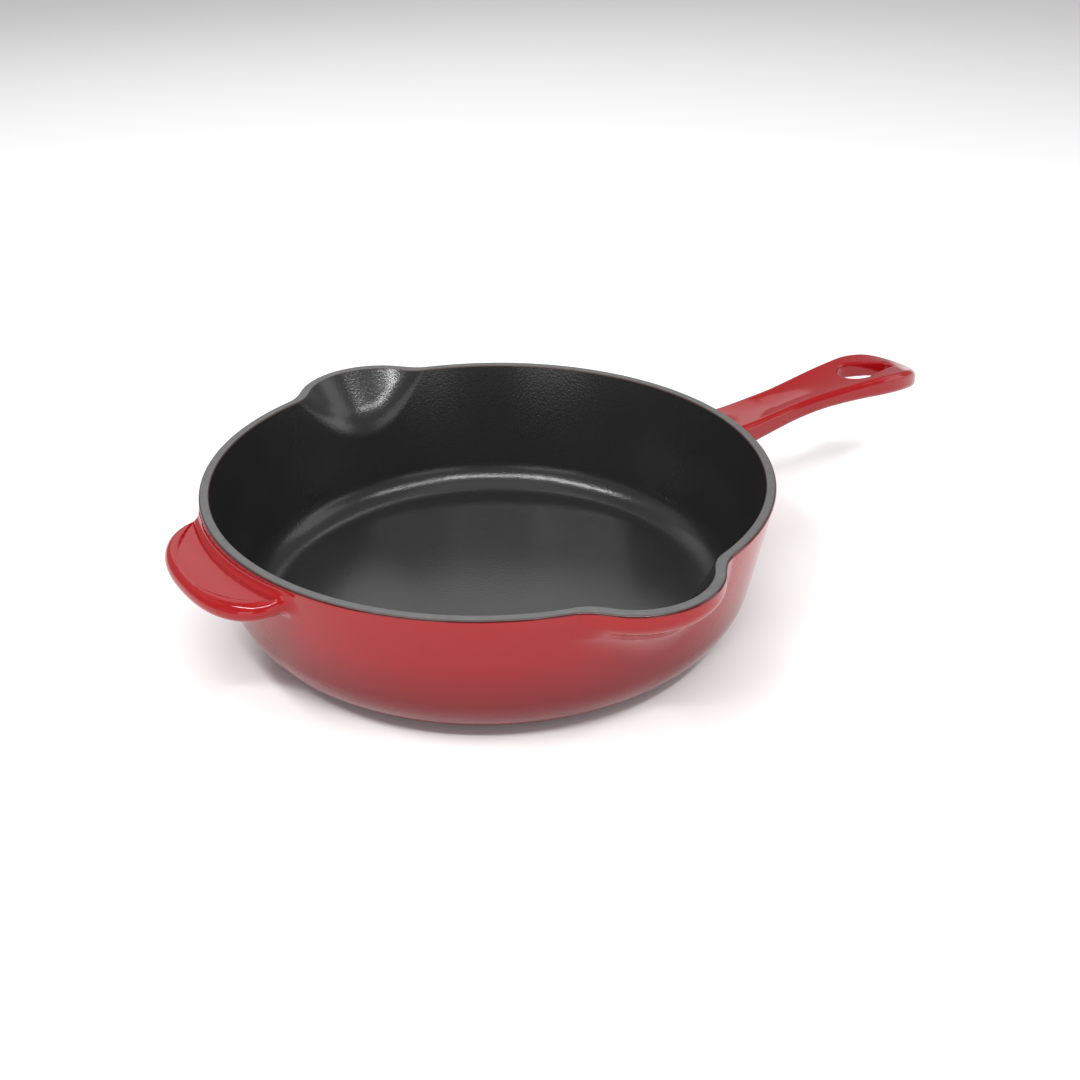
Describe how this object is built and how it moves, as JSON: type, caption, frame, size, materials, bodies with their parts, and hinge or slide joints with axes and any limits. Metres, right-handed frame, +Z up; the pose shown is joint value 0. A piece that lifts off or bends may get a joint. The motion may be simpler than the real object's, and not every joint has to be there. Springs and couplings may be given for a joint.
{
  "type": "cast iron skillet",
  "caption": "Enamelled cast iron skillet: round bowl with opposed pouring spouts, a long handle with a teardrop hang hole and a crescent helper handle.",
  "frame": {"origin": "centre of the flat underside that the skillet stands on", "axes": "+Z up, +X along the long handle, the pouring spouts along +Y and -Y"},
  "size_m": [0.423, 0.2908, 0.0687],
  "materials": {
    "cast_iron": "as cast, hidden under the enamel",
    "red_enamel": "glossy glass enamel",
    "black_enamel": "matte, finely textured enamel",
    "grey_ground_coat": "satin ground coat"
  },
  "bodies": {
    "root": {"iron_bowl": "cast_iron", "iron_long_handle": "cast_iron", "iron_helper_handle": "cast_iron", "exterior_enamel": "red_enamel", "base_enamel": "red_enamel", "handle_enamel": "red_enamel", "helper_handle_enamel": "red_enamel", "interior_enamel": "black_enamel", "rim_enamel": "grey_ground_coat"}
  },
  "joints": []
}
